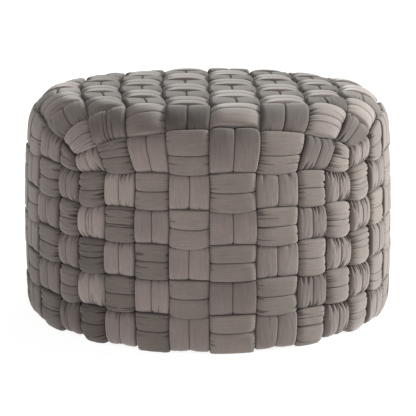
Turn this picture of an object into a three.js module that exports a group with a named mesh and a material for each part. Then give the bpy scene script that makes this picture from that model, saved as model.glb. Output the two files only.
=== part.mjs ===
// Round floor pouf woven from wide padded velvet bands, in millimetres.
// +Z is up, +Y is the back, and the floor under the middle of the pouf is the origin.
// Eight bands run front to back over the top, eight run left to right, and six hoops go round.
// Every crossing is a true over-and-under one, and the filled body inside carries the bands.
import * as THREE from 'three';

// Overall size: half the width and the height over the crests of the bands.
const OUTER_RADIUS = 381;
const OUTER_HEIGHT = 457;

// Heights above the surface that the bands lie on, taken at one crossing.
const CREST_HEIGHT = 28;
const SEAM_HEIGHT = 24.8;
const PUFF_VARIATION = 1.3;
const MIDDLE_HEIGHT = 12;
const TURN_THICKNESS = 13;
const UNDER_TOP = 9.5;
const UNDER_BOTTOM = 0.5;
const CLEARANCE = 0.3;

// Places within a cell, as parts of half its width, where a band has its corners.
const EDGE = 0.95;
const CREST_ALONG = 0.52;
const CREST_ACROSS = 0.56;

// The bearing surface: a nearly level top, a rounded rim, a nearly upright side and a rounded foot.
const DOME_EDGE_DEG = 1;
const SIDE_START_DEG = 85;
const SIDE_END_DEG = 92;
const FLAT_DEG = 180;
const BAND_RIM_RADIUS = 55;
const BAND_FOOT_RADIUS = 34;

// The filled body follows the same surface, with rounder corners that keep it off the bands.
const BODY_RIM_RADIUS = 84;
const BODY_FOOT_RADIUS = 50;
const BODY_STEPS = { dome: 2, rim: 4, side: 2, foot: 3 };
const BODY_SEGMENTS = 64;

// Widths of the eight bands on each quarter of the side, in degrees round the pouf.
const FIRST_CORNER_DEG = -41.4;
const COLUMN_WIDTHS_DEG = {
  front: [10.3, 9.9, 10.2, 11.4, 13.4, 12.7, 9.9, 10.5],
  right: [10.4, 10.5, 11.4, 11.4, 11.3, 10.7, 10.0, 9.4],
  back: [9.7, 10.9, 12.9, 14.2, 15.7, 13.5, 11.3, 10.3],
  left: [10.0, 10.5, 11.1, 11.8, 12.2, 11.8, 12.0, 8.7],
};
const FACE_NAMES = ['front', 'right', 'back', 'left'];

// Over the rim the upright bands fan out: how far round each line between them lies further on
// at the rim than on the side, in degrees, and over how many rows of the top this fades.
const RIM_LEAN_DEG = {
  front: [-2.3, -3.7, -3.4, -1.6, 0, 1.8, 3.5, 4.9, 0.4],
  right: [0.4, 2.0, 1.5, 0, 0, 0.7, 1.6, 2.5, 0],
  back: [0, -2.5, -1.6, -0.7, 0, 0.7, 1.6, 2.5, 0],
  left: [0, -2.5, -1.6, -0.7, 0, 0.7, 1.2, 0.5, -2.3],
};
const LEAN_ROWS = 3;

const TOP = -1;
const FRONT = 0;
const RIGHT = 1;
const BACK = 2;
const LEFT = 3;

// The lines between the hoops, from the top down. The first lies on the rim, and each line
// drops towards the four corners of the weave.
const RIM_LINE_DEG = 54;
const HOOP_LINES = [
  { height: 338, cornerDrop: 15 },
  { height: 272, cornerDrop: 8 },
  { height: 207, cornerDrop: 5 },
  { height: 142, cornerDrop: 4 },
  { height: 76, cornerDrop: 3 },
];
const RIM_CORNER_DROPS = [52, 42, 46, 46];
const RIM_CORNER_POWER = 2;
const HOOP_CORNER_POWER = 3;
const LOWEST_LINE_DEG = 128;

// The ends of the upright bands are turned under the foot.
const TUCK_STEPS = [
  { length: 6, thickness: 10 },
  { length: 15, thickness: 3.2 },
];

const BANDS_PER_SIDE = 8;
const HOOPS = 6;

const VELVET_ROUGHNESS = 0.9;
const UPRIGHT_COLOUR = 0x807874;
const HOOP_COLOUR = 0x7d776e;
const BODY_COLOUR = 0x6c6661;

const radians = THREE.MathUtils.degToRad;

// A half section made of four arcs that join smoothly, given by the heading along it:
// 0 degrees runs level away from the middle, 90 straight down and 180 level towards the middle.
function makeProfile(radius, height, rimRadius, footRadius) {
  const dome = radians(DOME_EDGE_DEG);
  const sideStart = radians(SIDE_START_DEG);
  const sideEnd = radians(SIDE_END_DEG);
  const flat = radians(FLAT_DEG);
  const rimDrop = rimRadius * (Math.cos(dome) - Math.cos(sideStart));
  const footDrop = footRadius * (Math.cos(sideEnd) - Math.cos(flat));
  // The dome and side radii follow from the overall radius and height; two passes settle both.
  let domeRadius = radius / Math.sin(dome);
  let sideRadius = 1;
  for (let pass = 0; pass < 6; pass += 1) {
    const domeDrop = domeRadius * (1 - Math.cos(dome));
    const sideDrop = height - domeDrop - rimDrop - footDrop;
    sideRadius = sideDrop / (Math.cos(sideStart) - Math.cos(sideEnd));
    const rimReach = rimRadius * (Math.sin(sideStart) - Math.sin(dome));
    const sideReach = sideRadius * (1 - Math.sin(sideStart));
    domeRadius = (radius - rimReach - sideReach) / Math.sin(dome);
  }
  const turns = [
    { name: 'dome', bend: domeRadius, from: 0, to: dome },
    { name: 'rim', bend: rimRadius, from: dome, to: sideStart },
    { name: 'side', bend: sideRadius, from: sideStart, to: sideEnd },
    { name: 'foot', bend: footRadius, from: sideEnd, to: flat },
  ];
  let r = 0;
  let z = height;
  let start = 0;
  const arcs = {};
  for (const turn of turns) {
    const length = turn.bend * (turn.to - turn.from);
    arcs[turn.name] = { ...turn, r, z, start, length };
    r += turn.bend * (Math.sin(turn.to) - Math.sin(turn.from));
    z -= turn.bend * (Math.cos(turn.from) - Math.cos(turn.to));
    start += length;
  }
  return arcs;
}

function arcPoint(arc, heading) {
  const r = arc.r + arc.bend * (Math.sin(heading) - Math.sin(arc.from));
  const z = arc.z - arc.bend * (Math.cos(arc.from) - Math.cos(heading));
  return { r, z, heading };
}

function profilePoint(profile, distance) {
  let chosen = profile.dome;
  for (const arc of Object.values(profile)) {
    if (distance >= arc.start) {
      chosen = arc;
    }
  }
  return arcPoint(chosen, chosen.from + (distance - chosen.start) / chosen.bend);
}

const bearingProfile = makeProfile(
  OUTER_RADIUS - CREST_HEIGHT,
  OUTER_HEIGHT - CREST_HEIGHT,
  BAND_RIM_RADIUS,
  BAND_FOOT_RADIUS,
);

// Distances along the section, from the crown, at which the lines between hoops lie.
function distanceAtHeading(arc, degrees) {
  return arc.start + arc.bend * (radians(degrees) - arc.from);
}

function distanceAtHeight(arc, height) {
  const heading = Math.acos(Math.cos(arc.from) - (arc.z - height) / arc.bend);
  return arc.start + arc.bend * (heading - arc.from);
}

const rowLines = [
  {
    distance: distanceAtHeading(bearingProfile.rim, RIM_LINE_DEG),
    drops: RIM_CORNER_DROPS,
    power: RIM_CORNER_POWER,
  },
  ...HOOP_LINES.map(({ height, cornerDrop }) => ({
    distance: distanceAtHeight(bearingProfile.side, height),
    drops: FACE_NAMES.map(() => cornerDrop),
    power: HOOP_CORNER_POWER,
  })),
  {
    distance: distanceAtHeading(bearingProfile.foot, LOWEST_LINE_DEG),
    drops: FACE_NAMES.map(() => 0),
    power: HOOP_CORNER_POWER,
  },
];

// Where each line between two upright bands stands round the pouf, face by face.
function makeColumnLines() {
  const total = FACE_NAMES.flatMap((name) => COLUMN_WIDTHS_DEG[name])
    .reduce((sum, width) => sum + width, 0);
  const lines = [];
  let angle = FIRST_CORNER_DEG;
  for (const name of FACE_NAMES) {
    const face = [angle];
    for (const width of COLUMN_WIDTHS_DEG[name]) {
      angle += (width * 360) / total;
      face.push(angle);
    }
    lines.push(face);
  }
  return lines;
}

const columnLines = makeColumnLines();

// The value at column place a, from 0 to 8, of a list with one value for each line.
function valueAt(list, a) {
  const index = Math.min(Math.max(Math.floor(a), 0), BANDS_PER_SIDE - 1);
  return list[index] + (list[index + 1] - list[index]) * (a - index);
}

// The azimuth in radians at place a of a face, with a share of the lean that the rim has.
function azimuthAt(face, a, leanShare) {
  const lean = leanShare * valueAt(RIM_LEAN_DEG[FACE_NAMES[face]], a);
  return radians(valueAt(columnLines[face], a) + lean);
}

// The distance of a line from the crown at place a of a face. It grows to both corners.
function lineDistance(face, index, a) {
  const fromMiddle = a / (BANDS_PER_SIDE / 2) - 1;
  const corner = fromMiddle < 0 ? face : (face + 1) % FACE_NAMES.length;
  const { distance, drops, power } = rowLines[index];
  return distance + drops[corner] * Math.abs(fromMiddle) ** power;
}

// The distance from the crown at row place b, which runs from 0 at the rim to 6 at the foot.
// Below 6 it is in millimetres past the lowest line.
function sideDistance(face, a, b) {
  if (b >= HOOPS) {
    return lineDistance(face, HOOPS, a) + (b - HOOPS);
  }
  const index = Math.max(Math.floor(b), 0);
  const upper = lineDistance(face, index, a);
  return upper + (lineDistance(face, index + 1, a) - upper) * (b - index);
}

// A place on the rim line, laid out flat: its distance from the crown along its azimuth.
function rimPoint(face, a, leanShare) {
  const azimuth = azimuthAt(face, a, leanShare);
  const distance = lineDistance(face, 0, a);
  return new THREE.Vector2(distance * Math.sin(azimuth), -distance * Math.cos(azimuth));
}

// A four-sided patch between four edges. Each edge is a function of a face and a place on it,
// and the shares tell how much each of the four counts at this point.
function patchPoint(edge, a, b, shares) {
  const { front, back, left, right } = shares;
  const last = BANDS_PER_SIDE;
  const terms = [
    [edge(FRONT, a), front],
    [edge(BACK, last - a), back],
    [edge(LEFT, last - b), left],
    [edge(RIGHT, b), right],
    [edge(FRONT, 0), -left * front],
    [edge(FRONT, last), -right * front],
    [edge(BACK, last), -left * back],
    [edge(BACK, 0), -right * back],
  ];
  const flat = new THREE.Vector2();
  for (const [point, share] of terms) {
    flat.addScaledVector(point, share);
  }
  return flat;
}

// The top is a patch between its four rim lines. Its places a and b run from 0 to 8, to the
// right and to the back. The lean of the bands fades over a few rows in from each rim line.
function topPoint(a, b) {
  const s = a / BANDS_PER_SIDE;
  const t = b / BANDS_PER_SIDE;
  const upright = (face, place) => rimPoint(face, place, 0);
  const lean = (face, place) => rimPoint(face, place, 1).sub(rimPoint(face, place, 0));
  const fade = (rows) => Math.max(0, 1 - rows / LEAN_ROWS);
  const flat = patchPoint(upright, a, b, { front: 1 - t, back: t, left: 1 - s, right: s });
  return flat.add(patchPoint(lean, a, b, {
    front: fade(b),
    back: fade(BANDS_PER_SIDE - b),
    left: fade(a),
    right: fade(BANDS_PER_SIDE - a),
  }));
}

// A point in space at place (a, b) of a face, raised off the bearing surface.
function surfacePoint(face, a, b, height) {
  let azimuth;
  let distance;
  if (face === TOP) {
    const flat = topPoint(a, b);
    azimuth = Math.atan2(flat.x, -flat.y);
    distance = flat.length();
  } else {
    azimuth = azimuthAt(face, a, Math.max(0, 1 - b));
    distance = sideDistance(face, a, b);
  }
  const { r, z, heading } = profilePoint(bearingProfile, distance);
  const reach = r + height * Math.sin(heading);
  return new THREE.Vector3(
    reach * Math.sin(azimuth),
    -reach * Math.cos(azimuth),
    z + height * Math.cos(heading),
  );
}

// A cell is one crossing as one of its two bands sees it. Along and across run from -1 to 1,
// and the signs and axis tell how they lie on the face.
function makeCell(face, column, row, alongAxis, alongSign, acrossSign, over) {
  return { face, column, row, alongAxis, alongSign, acrossSign, over };
}

function cellPoint(cell, along, across, height) {
  const u = along * cell.alongSign;
  const v = across * cell.acrossSign;
  const sideways = cell.alongAxis === 'a' ? u : v;
  const upDown = cell.alongAxis === 'a' ? v : u;
  const a = cell.column + (1 + sideways) / 2;
  const b = cell.row + (1 + upDown) / 2;
  return surfacePoint(cell.face, a, b, height);
}

// Small differences in how full the cells are, the same each time.
function puffOf(cell) {
  const wave = Math.sin(2.7 * cell.column + 4.1 * cell.row + 1.9 * cell.face);
  return PUFF_VARIATION * wave;
}

// Collects the corners and triangles of one band.
class Skin {
  constructor() {
    this.points = [];
    this.triangles = [];
  }

  add(point) {
    this.points.push(point);
    return this.points.length - 1;
  }

  face(p, q, r, flipped) {
    this.triangles.push(flipped ? [p, r, q] : [p, q, r]);
  }

  // A ring of corners joined to one in its middle.
  fan(middle, ring, flipped) {
    ring.forEach((corner, index) => {
      this.face(middle, corner, ring[(index + 1) % ring.length], flipped);
    });
  }

  // A strip between two rows of corners that run left to right. Its diagonals mirror each other
  // about the middle of the band, and spread outwards from the near row or from the far one.
  strip(near, far, flipped, spreadFrom = 'near') {
    const middle = (near.length - 1) / 2;
    for (let index = 0; index + 1 < near.length; index += 1) {
      const leftHalf = index < middle;
      const fromNearRight = leftHalf === (spreadFrom === 'near');
      const [p, q] = [near[index], near[index + 1]];
      const [r, s] = [far[index + 1], far[index]];
      if (fromNearRight) {
        this.face(p, q, s, flipped);
        this.face(q, r, s, flipped);
      } else {
        this.face(p, q, r, flipped);
        this.face(p, r, s, flipped);
      }
    }
  }

  geometry() {
    const geometry = new THREE.BufferGeometry().setFromPoints(this.points);
    geometry.setIndex(this.triangles.flat());
    geometry.computeVertexNormals();
    return geometry;
  }
}

// The section of a band where it passes from one cell to the next: a flat lens.
function addTurn(skin, cell, along) {
  const half = TURN_THICKNESS / 2;
  const left = skin.add(cellPoint(cell, along, -EDGE, cornerHeight(cell)));
  const right = skin.add(cellPoint(cell, along, EDGE, cornerHeight(cell)));
  const topGap = cell.over ? 0 : -CLEARANCE / 2;
  const bottomGap = cell.over ? CLEARANCE / 2 : 0;
  const top = skin.add(cellPoint(cell, along, 0, MIDDLE_HEIGHT + half + topGap));
  const bottom = skin.add(cellPoint(cell, along, 0, MIDDLE_HEIGHT - half + bottomGap));
  return { top: [left, top, right], bottom: [left, bottom, right] };
}

function cornerHeight(cell) {
  return MIDDLE_HEIGHT + (cell.over ? CLEARANCE : -CLEARANCE) / 2;
}

// The puffed upper face where a band lies on top: two crests with the seam between them.
function addCrest(skin, cell, start, end, left, right) {
  const crest = CREST_HEIGHT + puffOf(cell);
  const rows = [-CREST_ALONG, CREST_ALONG].map((along) => [
    skin.add(cellPoint(cell, along, -CREST_ACROSS, crest)),
    skin.add(cellPoint(cell, along, 0, crest - CREST_HEIGHT + SEAM_HEIGHT)),
    skin.add(cellPoint(cell, along, CREST_ACROSS, crest)),
  ]);
  const [near, far] = rows;
  skin.strip(start, near, false);
  skin.strip(near, far, false);
  skin.strip(far, end, false, 'far');
  skin.face(left, start[0], near[0], false);
  skin.face(left, near[0], far[0], false);
  skin.face(left, far[0], end[0], false);
  skin.face(right, near[2], start[2], false);
  skin.face(right, far[2], near[2], false);
  skin.face(right, end[2], far[2], false);
}

// One cell of a band, with the turns at its two ends.
function addCell(skin, cell) {
  const half = TURN_THICKNESS / 2;
  const side = cell.over ? 1 : -1;
  const edgeHeight = MIDDLE_HEIGHT + side * (half + CLEARANCE / 2);
  const start = addTurn(skin, cell, -EDGE);
  const end = addTurn(skin, cell, EDGE);
  const left = skin.add(cellPoint(cell, 0, -EDGE, edgeHeight));
  const right = skin.add(cellPoint(cell, 0, EDGE, edgeHeight));
  const ringOf = (name) => [
    start[name][0], start[name][1], start[name][2], right,
    end[name][2], end[name][1], end[name][0], left,
  ];
  if (cell.over) {
    const seat = skin.add(cellPoint(cell, 0, 0, UNDER_TOP + CLEARANCE / 2));
    skin.fan(seat, ringOf('bottom'), true);
    addCrest(skin, cell, start.top, end.top, left, right);
  } else {
    const seat = skin.add(cellPoint(cell, 0, 0, UNDER_TOP - CLEARANCE / 2));
    const rest = skin.add(cellPoint(cell, 0, 0, UNDER_BOTTOM));
    skin.fan(seat, ringOf('top'), false);
    skin.fan(rest, ringOf('bottom'), true);
  }
  return { start, end };
}

function joinSections(skin, near, far) {
  skin.strip(near.top, far.top, false);
  skin.strip(near.bottom, far.bottom, true);
}

// The end of an upright band, turned under the foot. The section nearest the lowest hoop is given.
function addTuck(skin, cell, section, atStart) {
  let last = section;
  let inward = 0;
  for (const step of TUCK_STEPS) {
    inward = step.length;
    const at = (across, height) => {
      const sideways = across * cell.acrossSign;
      return surfacePoint(cell.face, cell.column + (1 + sideways) / 2, HOOPS + inward, height);
    };
    const left = skin.add(at(-EDGE, UNDER_BOTTOM + step.thickness / 2));
    const right = skin.add(at(EDGE, UNDER_BOTTOM + step.thickness / 2));
    const top = skin.add(at(0, UNDER_BOTTOM + step.thickness));
    const bottom = skin.add(at(0, UNDER_BOTTOM));
    const next = { top: [left, top, right], bottom: [left, bottom, right] };
    if (atStart) {
      joinSections(skin, next, last);
    } else {
      joinSections(skin, last, next);
    }
    last = next;
  }
  const [left, top, right] = last.top;
  const bottom = last.bottom[1];
  skin.face(left, bottom, right, !atStart);
  skin.face(left, right, top, !atStart);
}

function weaveBand(cells, closed) {
  const skin = new Skin();
  const sections = cells.map((cell) => addCell(skin, cell));
  for (let index = 0; index + 1 < sections.length; index += 1) {
    joinSections(skin, sections[index].end, sections[index + 1].start);
  }
  const last = sections.length - 1;
  if (closed) {
    joinSections(skin, sections[last].end, sections[0].start);
  } else {
    addTuck(skin, cells[0], sections[0].start, true);
    addTuck(skin, cells[last], sections[last].end, false);
  }
  return skin.geometry();
}

const uprightIsOver = (column, row) => (column + row) % 2 === 0;
const frontBackIsOver = (column, row) => (column + row) % 2 === 1;

// The cells of a band that goes up one face, over the top and down the opposite face.
function uprightCells(upFace, upColumn, overTop, downFace, downColumn) {
  const cells = [];
  for (let row = HOOPS - 1; row >= 0; row -= 1) {
    cells.push(makeCell(upFace, upColumn, row, 'b', -1, 1, uprightIsOver(upColumn, row)));
  }
  cells.push(...overTop);
  for (let row = 0; row < HOOPS; row += 1) {
    cells.push(makeCell(downFace, downColumn, row, 'b', 1, -1, uprightIsOver(downColumn, row)));
  }
  return cells;
}

function frontBackBand(column) {
  const overTop = [];
  for (let row = 0; row < BANDS_PER_SIDE; row += 1) {
    overTop.push(makeCell(TOP, column, row, 'b', 1, 1, frontBackIsOver(column, row)));
  }
  return uprightCells(FRONT, column, overTop, BACK, BANDS_PER_SIDE - 1 - column);
}

function leftRightBand(row) {
  const overTop = [];
  for (let column = 0; column < BANDS_PER_SIDE; column += 1) {
    overTop.push(makeCell(TOP, column, row, 'a', 1, -1, !frontBackIsOver(column, row)));
  }
  return uprightCells(LEFT, BANDS_PER_SIDE - 1 - row, overTop, RIGHT, row);
}

function hoop(row) {
  const cells = [];
  for (const face of [FRONT, RIGHT, BACK, LEFT]) {
    for (let column = 0; column < BANDS_PER_SIDE; column += 1) {
      cells.push(makeCell(face, column, row, 'a', 1, 1, !uprightIsOver(column, row)));
    }
  }
  return cells;
}

// The filled body: a plain round cushion whose flat underside is the base of the pouf.
function filledBody() {
  const profile = makeProfile(
    OUTER_RADIUS - CREST_HEIGHT,
    OUTER_HEIGHT - CREST_HEIGHT,
    BODY_RIM_RADIUS,
    BODY_FOOT_RADIUS,
  );
  const points = [];
  for (const arc of Object.values(profile)) {
    const steps = BODY_STEPS[arc.name];
    for (let step = 0; step < steps; step += 1) {
      const { r, z } = arcPoint(arc, arc.from + ((arc.to - arc.from) * step) / steps);
      points.push(new THREE.Vector2(r, z));
    }
  }
  const end = arcPoint(profile.foot, profile.foot.to);
  points.push(new THREE.Vector2(end.r, 0));
  points.push(new THREE.Vector2(0, 0));
  points.reverse();
  return new THREE.LatheGeometry(points, BODY_SEGMENTS).rotateX(Math.PI / 2);
}

function velvet(colour) {
  return new THREE.MeshStandardMaterial({
    color: colour,
    roughness: VELVET_ROUGHNESS,
    metalness: 0,
  });
}

function addPiece(group, name, geometry, material) {
  const mesh = new THREE.Mesh(geometry, material);
  mesh.name = name;
  group.add(mesh);
}

const pouf = new THREE.Group();
const uprightVelvet = velvet(UPRIGHT_COLOUR);
const hoopVelvet = velvet(HOOP_COLOUR);
addPiece(pouf, 'filled_body', filledBody(), velvet(BODY_COLOUR));
for (let index = 0; index < BANDS_PER_SIDE; index += 1) {
  const number = index + 1;
  addPiece(pouf, `front_back_band_${number}`, weaveBand(frontBackBand(index), false), uprightVelvet);
  addPiece(pouf, `left_right_band_${number}`, weaveBand(leftRightBand(index), false), uprightVelvet);
}
for (let row = 0; row < HOOPS; row += 1) {
  addPiece(pouf, `hoop_${row + 1}`, weaveBand(hoop(row), true), hoopVelvet);
}

// The uneven bands leave the outline a little off centre, so the whole is set over the origin.
const middle = new THREE.Box3().setFromObject(pouf).getCenter(new THREE.Vector3());
pouf.position.set(-middle.x, -middle.y, 0);

export default pouf;
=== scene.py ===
# Dresses the woven pouf: every band becomes a padded velvet band, full at each crossing where it
# lies on top. All lengths are in metres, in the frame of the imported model.
import math

import bpy
import numpy as np
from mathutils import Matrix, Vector


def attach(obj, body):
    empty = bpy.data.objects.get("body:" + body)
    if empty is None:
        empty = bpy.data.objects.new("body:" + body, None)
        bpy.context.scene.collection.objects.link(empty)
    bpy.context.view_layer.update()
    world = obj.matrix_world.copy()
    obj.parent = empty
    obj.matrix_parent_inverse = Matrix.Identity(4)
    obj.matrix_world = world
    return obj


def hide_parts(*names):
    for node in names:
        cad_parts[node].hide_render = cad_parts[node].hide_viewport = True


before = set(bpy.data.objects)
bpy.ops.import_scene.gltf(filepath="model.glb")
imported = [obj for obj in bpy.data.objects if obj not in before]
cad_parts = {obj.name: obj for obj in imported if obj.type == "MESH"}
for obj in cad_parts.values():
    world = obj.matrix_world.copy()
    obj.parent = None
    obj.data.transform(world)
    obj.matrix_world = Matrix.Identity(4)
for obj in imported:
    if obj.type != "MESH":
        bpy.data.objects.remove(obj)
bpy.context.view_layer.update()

# Size of the bearing surface that the bands lie on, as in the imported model.
OUTER_RADIUS = 0.381
OUTER_HEIGHT = 0.457
CREST_HEIGHT = 0.028
RIM_RADIUS = 0.055
FOOT_RADIUS = 0.034
DOME_EDGE_DEG = 1
SIDE_START_DEG = 85
SIDE_END_DEG = 92
FLAT_DEG = 180
PROFILE_ROUNDS = 6

# Widths of the upright bands in degrees, and the lines between the hoops.
FIRST_CORNER_DEG = -41.4
COLUMN_WIDTHS_DEG = {
    "front": (10.3, 9.9, 10.2, 11.4, 13.4, 12.7, 9.9, 10.5),
    "right": (10.4, 10.5, 11.4, 11.4, 11.3, 10.7, 10.0, 9.4),
    "back": (9.7, 10.9, 12.9, 14.2, 15.7, 13.5, 11.3, 10.3),
    "left": (10.0, 10.5, 11.1, 11.8, 12.2, 11.8, 12.0, 8.7),
}
RIM_LINE_DEG = 54
RIM_CORNER_DROPS = (0.052, 0.042, 0.046, 0.046)
HOOP_LINES = (
    {"height": 0.338, "corner_drop": 0.015},
    {"height": 0.272, "corner_drop": 0.008},
    {"height": 0.207, "corner_drop": 0.005},
    {"height": 0.142, "corner_drop": 0.004},
    {"height": 0.076, "corner_drop": 0.003},
)
RIM_CORNER_POWER = 2
HOOP_CORNER_POWER = 3

# Over the rim the upright bands fan out. The lean fades over a few rows of the top.
RIM_LEAN_DEG = {
    "front": (-2.3, -3.7, -3.4, -1.6, 0.0, 1.8, 3.5, 4.9, 0.4),
    "right": (0.4, 2.0, 1.5, 0.0, 0.0, 0.7, 1.6, 2.5, 0.0),
    "back": (0.0, -2.5, -1.6, -0.7, 0.0, 0.7, 1.6, 2.5, 0.0),
    "left": (0.0, -2.5, -1.6, -0.7, 0.0, 0.7, 1.2, 0.5, -2.3),
}
LEAN_ROWS = 3
LOWEST_LINE_DEG = 128
BANDS_PER_SIDE = 8
HOOPS = 6
TOP, FRONT, RIGHT, BACK, LEFT = -1, 0, 1, 2, 3

# Heights over the bearing surface at one crossing, and the gaps that keep the two bands apart.
MIDDLE_HEIGHT = 0.0095
TURN_THICKNESS = 0.009
UNDER_TOP = 0.0085
UNDER_BOTTOM = 0.0006
END_HEIGHT = 0.0110
TOP_LIFT = 0.0040
EDGE_GAP = 0.001
SEAT_GAP = 0.0004

# The shape of a band where it lies on top, by the way that the band runs. Widths are parts of
# its cell, and reach is how far it runs over the ends of its cell.
UPRIGHT_SHAPE = {
    "width": 1.02, "end_width": 1.0, "reach": 1.0, "crest": 0.0255, "arch": 11.0, "fall": 0.5
}
HOOP_SHAPE = {
    "width": 1.05, "end_width": 1.03, "reach": 1.03, "crest": 0.0260, "arch": 11.0, "fall": 0.5
}
FRONT_BACK_SHAPE = {
    "width": 1.03, "end_width": 1.0, "reach": 0.99, "crest": 0.0257, "arch": 4.5, "fall": 0.25
}
LEFT_RIGHT_SHAPE = {
    "width": 1.03, "end_width": 0.96, "reach": 1.02, "crest": 0.0275, "arch": 2.6, "fall": 0.62
}
CORNER_ARCH = 3.2
CORNER_PINCH = 0.15
HOOP_PINCH_SHARE = 0.5
UNDER_PINCH = 0.03
HOOP_BOW = (0.01, 0.09)
PUFF_VARIATION = 0.0012
SIDE_SHIFT = 0.02
SEAM_WANDER = 0.05
SEAM_SLANT = 0.04

# How square a crossing is in plan and how flat its upper side is. Both are powers, and the corner
# loss is how much lower they are at the corners of the weave.
PLAN_SQUARENESS = {"middle": 5.0, "corner_loss": 2.4}
FLATNESS = {"middle": 36.0, "corner_loss": 29.0, "front_back": 16.0, "under": 2.6}

# Where the corners of a face begin, as a part of the way out from its middle.
CORNERS_FROM = 0.25

# The hollow along the middle of a band, the seam in it, and the notch at the ends of the seam on
# the top. A pair is the value over the middle of a crossing, and how much it grows to its ends.
# Widths are parts of half the width of the band.
HOLLOW_DEPTHS = (0.04, 0.26)
HOLLOW_WIDTHS = (0.16, 0.16)
SEAM_DEPTHS = (0.0024, 0.0034)
SEAM_WIDTH = 0.03
NOTCH_DEPTH = 0.007
NOTCH_WIDTHS = (0.02, 0.09)
NEAR_END_POWER = 4
NOTCH_POWER = 10

# How strongly each end of a crossing is gathered, from 0 to 1. A pair is the value over the middle
# of a face, and how much more it is at the corners of the weave.
TOP_PULL = (0.15, 0.20)
HOOP_PULL = (0.15, 0.40)
UPRIGHT_FOOT_PULL = (0.05, 0.60)
UPRIGHT_HEAD_PULL = (0.12, 0.90)
PULL_VARIATION = (0.2, 0.2)
STRONGEST_PULL = 0.999

# How the folds stand out. Folds deeper than the fold depth are made clearer and shallow ones
# fainter, and all of them fade out over the last part of a crossing.
FOLD_STRENGTH = {"middle": 1.6, "corner": 5.0}
FOLD_CLARITY = 0.8
FOLD_DEPTH = 0.0022
CLEAREST_FOLD = 1.5
FOLD_END_FADE = 10

# The turned-under end of an upright band: how far past the lowest line and how thick, in steps.
TUCK_STEPS = ((0.003, 0.0115), (0.006, 0.010), (0.0105, 0.0065), (0.015, 0.0032))
ROW_PITCH = 0.066

# One crossing of the front rim sits higher than its neighbours. It is raised almost evenly from
# side to side, which is what the power is for.
RAISED_COLUMN = 4
RAISED_BY = 0.006
RAISED_SQUARENESS = 8
TOP_PITCH = 0.052

# Painted light and shade on each kind of band: how light the pile is painted, for the sheen of its
# nap and for how the light falls on it. A turn is how much this changes from the left of the pouf
# to the right, painted lighter to the right. The lifts are painted light, and the fades and the
# dip are
# painted shade at the named places: under the band above, at edges and ends, and towards the foot.
# The hoops are painted darker to the left of where the sine of the azimuth is hoop_left_from, and
# the dip place is where the painted dip of a rim crossing is darkest, from -1 at its front to 1 at
# its back.
TONE_AND_PAINTED_LIGHT = {
    "left_right": 0.80,
    "left_right_painted_light_turn": 0.17,
    "outer_column_painted_light": 0.44,
    "left_right_front_painted_shade": 0.05,
    "left_right_rim_painted_light": 0.26,
    "front_back": 0.49,
    "front_back_side_painted_shade": 0.12,
    "front_back_rim_painted_light": 0.10,
    "front_back_rim_top_painted_light": 0.16,
    "front_back_rim_painted_dip": 0.26,
    "front_back_dip_place": -0.1,
    "front_back_rim_foot_painted_light": 0.22,
    "hoop": 0.95,
    "hoop_painted_light_turn": 0.10,
    "hoop_left_painted_shade": 0.40,
    "hoop_left_from": -0.1,
    "hoop_end_painted_shade": 0.15,
    "upright": 1.02,
    "upright_top_painted_shadow": 0.26,
    "rim_upright_top_painted_shadow": 0.52,
    "edge_painted_shade": 0.6,
    "top_front_painted_light": 0.9,
    "foot_painted_shade_depth": 0.19,
    "foot_painted_shade_turn": 0.13,
}
PAINTED_EDGE_FROM = 0.90
TONE_VARIATION = (0.90, 1.10)
TONE_SLANT = 0.06
# Painted shade on a few crossings of the front, which are painted darker than their neighbours, or
# painted lighter where the number is below zero, by column and row.
RIM_CELL_PAINTED_SHADE = {(3, 0): 0.10, (7, 0): 0.16, (1, 0): -0.14, (5, 0): -0.04, (0, 1): -0.10}
HOOP_CELL_PAINTED_SHADE = {(1, 0): 0.08, (6, 1): 0.16}
# Where round the side the bands are painted lighter or darker, as painted light and shade, in
# degrees from the front.
UPRIGHT_PAINTED_LIGHT = (
    {"azimuth": -46, "spread": 20, "strength": 0.58},
    {"azimuth": -8, "spread": 20, "strength": 0.24},
    {"azimuth": 30, "spread": 10, "strength": -0.10},
)
HOOP_PAINTED_LIGHT = (
    {"azimuth": 6, "spread": 18, "strength": 0.20},
    {"azimuth": 30, "spread": 10, "strength": -0.10},
)

# The short creases that run in from the ends of each crossing: painted shade along them, and a
# bump relief. Lengths are parts of half its length.
CREASE_LENGTHS = (0.05, 0.35)
CREASE_CORNER_LENGTH = 0.7
HOOP_START_CREASE = 0.25
CREASE_COUNT = 11.0
CREASE_SLANT = 0.25
CREASE_TAPER = 0.20
CREASE_LEVEL = 0.50
CREASE_SOFTNESS = 0.09
CREASE_PAINTED_SHADE = 0.55
CREASE_RELIEF = -3.0
CREASE_SEEDS = 50

# The velvet and the base cloth. Scales are in repeats to the metre, and a spread is the least and
# the most by which a pattern changes the colour.
STREAK_SCALE = (22, 520, 0)
MOTTLE_SCALE = 24
PILE_SCALE = 520
STREAK_SPREAD = (0.74, 1.26)
MOTTLE_SPREAD = (0.80, 1.20)
PILE_SPREAD = (0.74, 1.26)
VELVET_ROUGHNESS = (0.80, 0.95)
# The seam line is painted darker within these widths from the seam: painted shade in its groove.
SEAM_LINE_WIDTHS = (0.0004, 0.0016)
SEAM_PAINTED_SHADE = 0.40
SHEEN_SHARE = 0.42
PILE_RELIEF = 0.5
THREAD_SCALE = 220
THREAD_SPREAD = (0.8, 1.2)
CLOTH_MOTTLE_SCALE = 15
CLOTH_MOTTLE_SPREAD = (0.8, 1.2)
CLOTH_ROUGHNESS = (0.85, 1.0)

# How far the mesh of a band is divided. Rows are crowded to the ends of a crossing and points to
# its edges and its seam: 0 is even and 1 is the most.
ROWS_OVER = 28
ROWS_UNDER = 7
TOP_POINTS = 45
BOTTOM_POINTS = 3
ROW_CROWDING = 0.6
POINT_CROWDING = 0.72

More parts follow.
